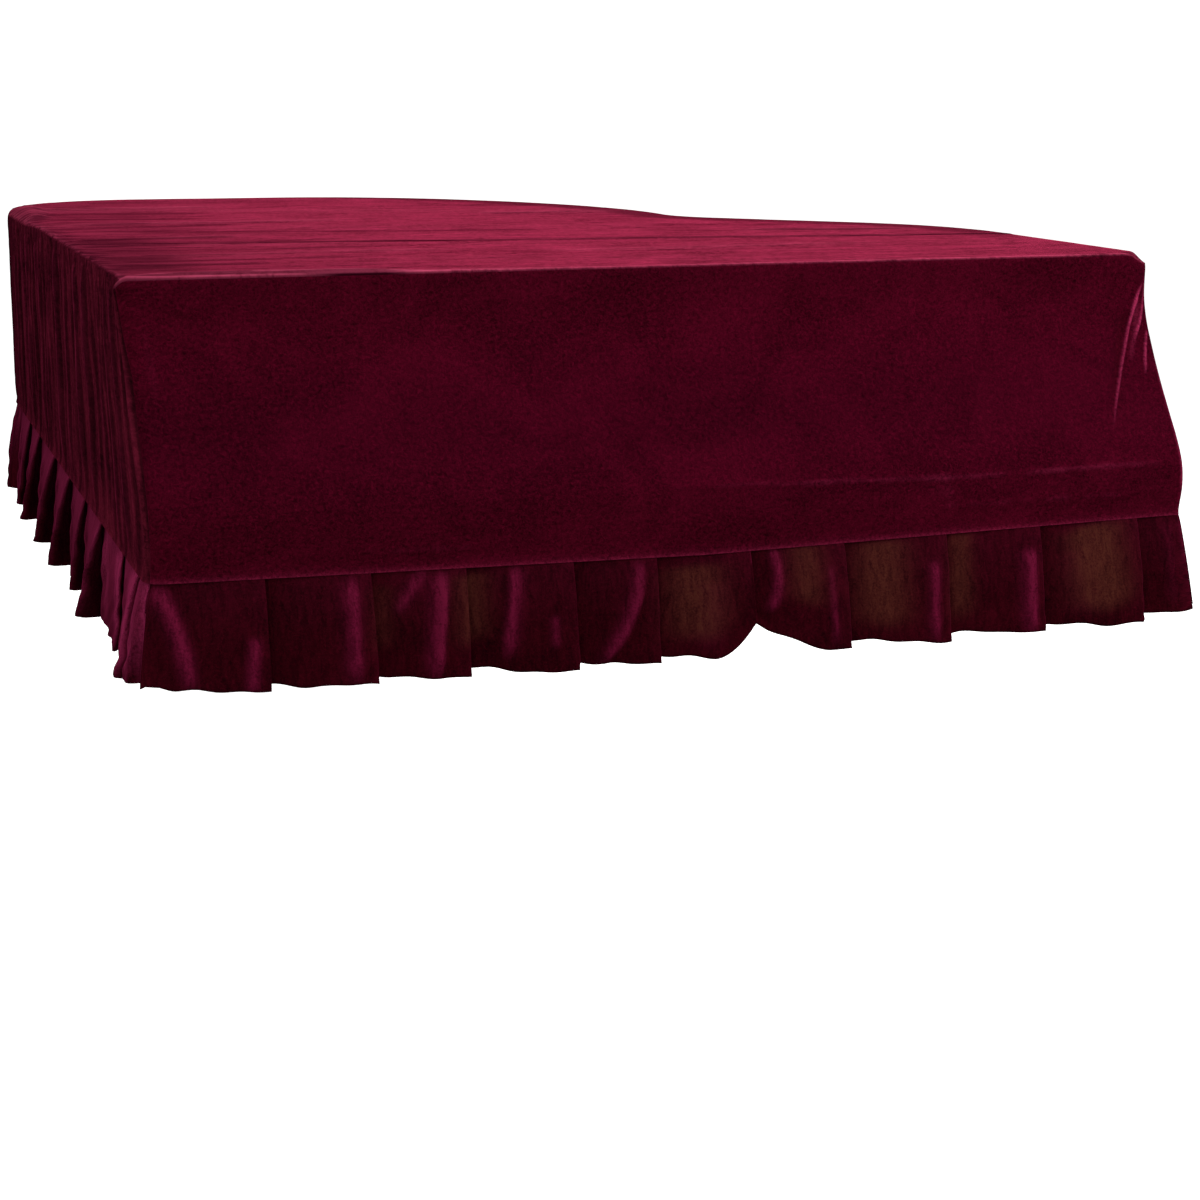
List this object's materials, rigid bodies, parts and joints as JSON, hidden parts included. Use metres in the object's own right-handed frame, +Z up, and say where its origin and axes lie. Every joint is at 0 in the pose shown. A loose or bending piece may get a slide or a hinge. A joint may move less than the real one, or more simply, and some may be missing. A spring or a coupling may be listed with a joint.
{
  "type": "fitted cover for a grand piano",
  "caption": "Fitted velvet cover for a grand piano: flat top on the lid's curved outline, hanging side panels and a pleated ruffle, hollow and open below.",
  "frame": {"origin": "on the underside of the top panel, where it rests on the lid, in the middle of the width and 0.8 m behind the lid's front edge", "axes": "+X to the right seen from the keyboard, +Y from the keyboard towards the tail, +Z up"},
  "size_m": [1.5791, 1.9272, 0.5239],
  "materials": {
    "velvet_top": "burgundy pleuche velvet, seen from above",
    "velvet_sides": "burgundy pleuche velvet, hanging with the pile down",
    "velvet_ruffle": "burgundy pleuche velvet, pleated"
  },
  "bodies": {
    "root": {"top_front_width": "velvet_top", "top_back_width": "velvet_top", "front_panel": "velvet_sides", "right_panel": "velvet_sides", "tail_panel": "velvet_sides", "left_panel": "velvet_sides", "ruffle_front_left": "velvet_ruffle", "ruffle_front_right": "velvet_ruffle", "ruffle_right_cheek": "velvet_ruffle", "ruffle_curved_side": "velvet_ruffle", "ruffle_tail": "velvet_ruffle", "ruffle_left": "velvet_ruffle"}
  },
  "joints": []
}
